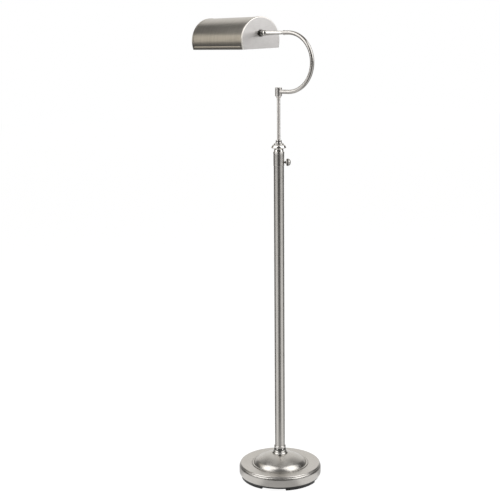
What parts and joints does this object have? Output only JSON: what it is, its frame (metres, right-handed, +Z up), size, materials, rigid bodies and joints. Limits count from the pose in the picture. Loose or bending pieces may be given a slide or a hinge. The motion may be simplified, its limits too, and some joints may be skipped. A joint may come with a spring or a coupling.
{
  "type": "pharmacy floor lamp",
  "caption": "Floor lamp with a weighted round base, telescoping column, swivelling C-shaped arm and a half-drum metal shade on a knuckle.",
  "frame": {"origin": "on the floor, on the axis of the column", "axes": "+Z up along the column; the shade lies along -X from the column and the arm bulges towards +X, 14.7 degrees towards +Y"},
  "size_m": [0.4698, 0.2602, 1.4439],
  "materials": {
    "satin_nickel": "satin, finely brushed nickel plate",
    "polished_nickel": "polished nickel plate",
    "blackened_steel": "blackened",
    "cast_iron": "as cast",
    "black_plastic": "matte",
    "black_rubber": "matte",
    "zinc_steel": "zinc plated",
    "brass": "bright",
    "white_nylon": "matte",
    "lead_jacket": "smooth",
    "phenolic": "moulded",
    "bulb_glass": "frosted"
  },
  "bodies": {
    "column": {"rubber_feet": "black_rubber", "base_plate": "black_plastic", "plate_screws": "zinc_steel", "base_weight": "cast_iron", "base_cover": "satin_nickel", "cord_bushing": "black_rubber", "base_collar": "polished_nickel", "base_stud": "zinc_steel", "base_washer": "zinc_steel", "base_lock_washer": "zinc_steel", "base_nut": "zinc_steel", "lower_tube": "satin_nickel", "middle_tube": "satin_nickel", "upper_tube": "satin_nickel", "foot_insert": "zinc_steel", "lower_joint_socket": "zinc_steel", "lower_joint_plug": "zinc_steel", "lower_joint_stud": "zinc_steel", "upper_joint_socket": "zinc_steel", "upper_joint_plug": "zinc_steel", "upper_joint_stud": "zinc_steel", "head_sleeve": "satin_nickel", "clamp_block": "zinc_steel", "column_neck": "polished_nickel", "column_skirt": "polished_nickel", "stem_gland": "polished_nickel", "guide_bush": "white_nylon", "column_lead": "lead_jacket"},
    "stem": {"stem_tube": "satin_nickel", "stem_guide": "white_nylon", "stem_lead": "lead_jacket", "stop_washer": "zinc_steel", "swivel_nut": "zinc_steel"},
    "arm": {"swivel_housing": "polished_nickel", "swivel_cap": "polished_nickel", "swivel_stop_pin": "zinc_steel", "arm_tube": "satin_nickel", "arm_lead": "lead_jacket", "arm_ferrule": "polished_nickel", "knuckle_stem": "satin_nickel", "knuckle_screw": "blackened_steel", "knuckle_nut": "zinc_steel", "knuckle_washer": "white_nylon"},
    "knuckle": {"knuckle_head": "polished_nickel", "hub_washer": "blackened_steel", "hub_set_screw": "polished_nickel"},
    "shade": {"near_cap": "satin_nickel", "shade_barrel": "satin_nickel", "far_cap": "satin_nickel", "shade_nipple": "zinc_steel", "nipple_washer": "zinc_steel", "nipple_nut": "zinc_steel", "socket_cap": "brass", "socket_shell": "brass", "socket_body": "phenolic", "bulb_cap": "brass", "bulb_glass": "bulb_glass"},
    "lock_pad": {"lock_pad": "brass"},
    "lock_screw": {"lock_screw": "polished_nickel"},
    "switch_knob": {"switch_knob": "black_plastic"}
  },
  "joints": [
    {"name": "height_slide", "type": "slide", "parent": "column", "child": "stem", "axis": [0, 0, 1], "range_m": [-0.12, 0.11], "deforming": ["column_lead"]},
    {"name": "arm_swing", "type": "hinge", "parent": "stem", "child": "arm", "pos_m": [0, 0, 1.219], "axis": [0, 0, 1], "range_deg": [-160, 160]},
    {"name": "knuckle_swing", "type": "hinge", "parent": "arm", "child": "knuckle", "pos_m": [-0.04972, -0.01304, 1.394], "axis": [0, 0, 1], "range_deg": [-70, 99]},
    {"name": "shade_turn", "type": "hinge", "parent": "knuckle", "child": "shade", "pos_m": [-0.04972, -0.01304, 1.394], "axis": [1, 0, 0], "range_deg": [-90, 90]},
    {"name": "lock_travel", "type": "slide", "parent": "column", "child": "lock_pad", "axis": [0.6428, 0.766, 0], "range_m": [0, 0.0016]},
    {"name": "lock_turn", "type": "hinge", "parent": "lock_pad", "child": "lock_screw", "pos_m": [0, 0, 1.008], "axis": [0.6428, 0.766, 0], "range_deg": [0, 576.5]},
    {"name": "switch_turn", "type": "hinge", "parent": "shade", "child": "switch_knob", "pos_m": [-0.08992, -0.01304, 1.394], "axis": [0, -0.0366, 0.9993], "continuous": true}
  ],
  "couplings": [
    {"joint": "lock_turn", "follows": "lock_travel", "rad_per_m": 6283.2}
  ]
}
